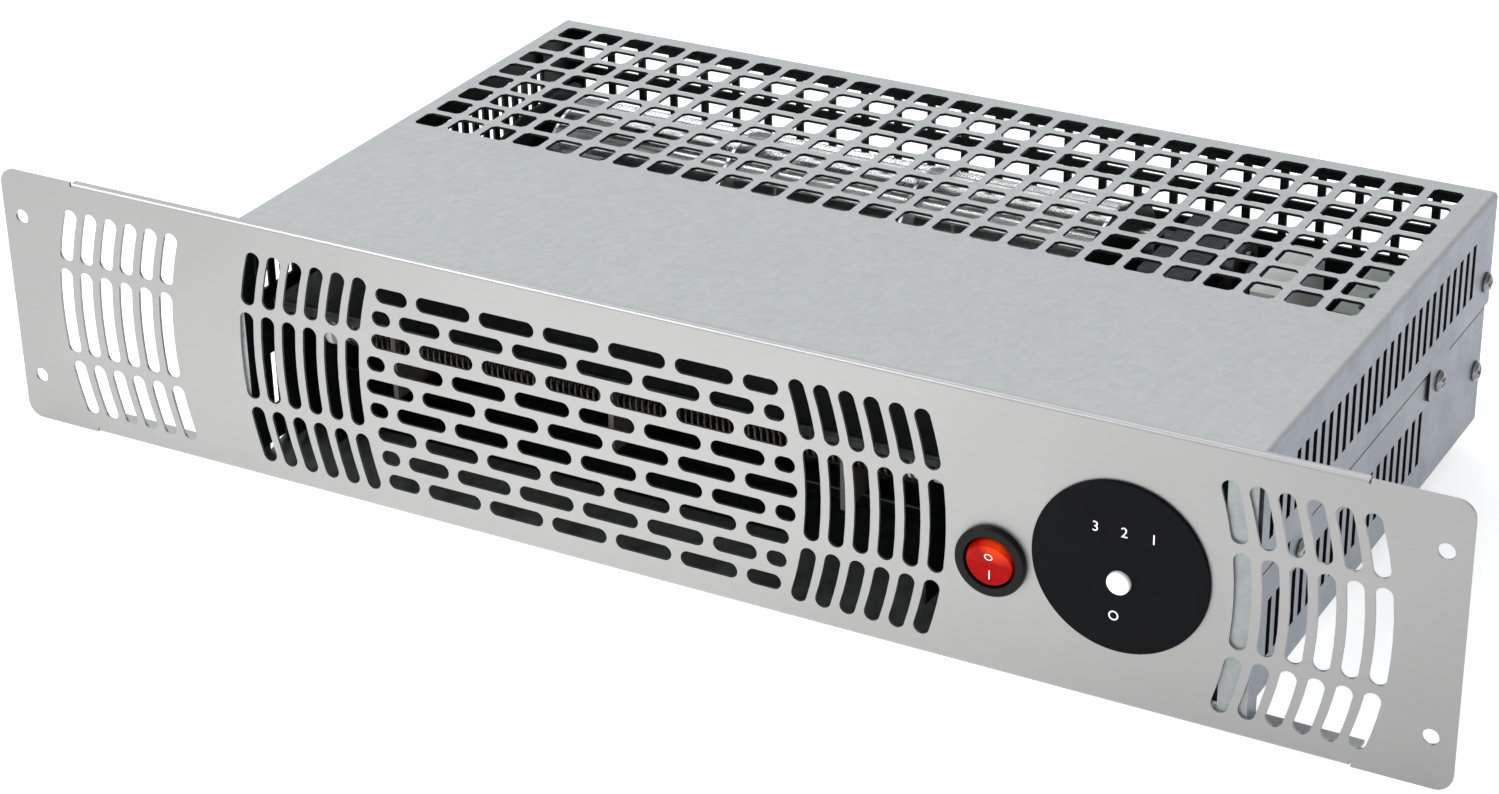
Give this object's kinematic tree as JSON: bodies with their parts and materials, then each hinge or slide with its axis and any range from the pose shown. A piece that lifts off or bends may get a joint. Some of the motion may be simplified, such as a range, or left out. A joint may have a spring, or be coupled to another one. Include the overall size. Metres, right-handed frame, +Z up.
{
  "type": "plinth heater",
  "caption": "Low fan heater for a kitchen plinth: flat stainless fascia with slotted outlet, rocker switch and button, sheet-steel casing with a cross-flow fan.",
  "frame": {"origin": "middle of the fascia's four fixing holes, on its back face", "axes": "+X along the fascia to the right as seen from the front, +Y back into the plinth, +Z up"},
  "size_m": [0.55, 0.239, 0.1],
  "materials": {
    "fascia_steel": "fine horizontal brushing",
    "galvanised_sheet": "galvanised, satin",
    "bright_screw": "bright zinc plate",
    "switch_black": "semi-gloss",
    "rocker_red": "translucent gloss",
    "disc_black": "satin",
    "button_white": "gloss",
    "relay_black": "matt",
    "board_green": "satin",
    "connector_green": "satin",
    "impeller_aluminium": "mill finish",
    "shaft_steel": "ground",
    "bush_bronze": "sintered",
    "black_rubber": "matt",
    "lamination_steel": "stamped laminations",
    "coil_tape": "taped",
    "bracket_casting": "die-cast",
    "cooling_fan_grey": "moulded",
    "mica": "satin",
    "coil_wire": "oxidised",
    "ceramic": "unglazed",
    "cutout_black": "moulded",
    "filter_white": "moulded",
    "terminal_grey": "moulded",
    "gland_black": "moulded",
    "earth_brass": "bright",
    "lead_red": "insulated wire",
    "lead_blue": "insulated wire",
    "lead_white": "insulated wire"
  },
  "bodies": {
    "root": {"fascia_panel": "fascia_steel", "switch_body": "switch_black", "switch_blades": "bright_screw", "control_disc": "disc_black", "tactile_key": "relay_black", "control_board": "board_green", "board_standoffs": "bright_screw", "board_screws": "bright_screw", "board_relays": "relay_black", "board_connector": "connector_green", "top_cover": "galvanised_sheet", "cover_screws": "bright_screw", "base_tray": "galvanised_sheet", "rear_panel": "galvanised_sheet", "rear_panel_screws": "bright_screw", "outlet_apron": "galvanised_sheet", "fan_bearing": "bush_bronze", "bearing_rubber": "black_rubber", "left_end_plate": "galvanised_sheet", "motor_end_plate": "galvanised_sheet", "end_plate_screws": "bright_screw", "fan_scroll": "galvanised_sheet", "air_guide": "galvanised_sheet", "motor_stator": "lamination_steel", "motor_winding": "coil_tape", "motor_brackets": "bracket_casting", "motor_bushes": "bush_bronze", "motor_screws": "bright_screw", "motor_spacers": "bright_screw", "element_frame": "galvanised_sheet", "mica_boards": "mica", "heating_coils": "coil_wire", "coil_insulators": "ceramic", "element_terminals": "bright_screw", "thermal_cutout": "cutout_black", "mains_filter": "filter_white", "terminal_block": "terminal_grey", "cable_gland": "gland_black", "earth_stud": "earth_brass", "mains_leads": "lead_red", "motor_leads": "lead_blue", "heater_leads": "lead_white"},
    "rocker": {"rocker_paddle": "rocker_red"},
    "button": {"speed_button": "button_white"},
    "fan_rotor": {"fan_impeller": "impeller_aluminium", "fan_stub_shaft": "shaft_steel", "motor_shaft": "shaft_steel", "motor_rotor": "bracket_casting", "cooling_fan": "cooling_fan_grey"}
  },
  "joints": [
    {"name": "rocker_tilt", "type": "hinge", "parent": "root", "child": "rocker", "pos_m": [0.121, 0.0006, -0.009], "axis": [1, 0, 0], "range_deg": [-16, 0]},
    {"name": "button_press", "type": "slide", "parent": "root", "child": "button", "axis": [0, 1, 0], "range_m": [0, 0.001], "stiffness_N_per_m": 400, "springref_m": -0.0005},
    {"name": "fan_spin", "type": "hinge", "parent": "root", "child": "fan_rotor", "pos_m": [0, 0.175, 0.006], "axis": [1, 0, 0], "continuous": true}
  ]
}
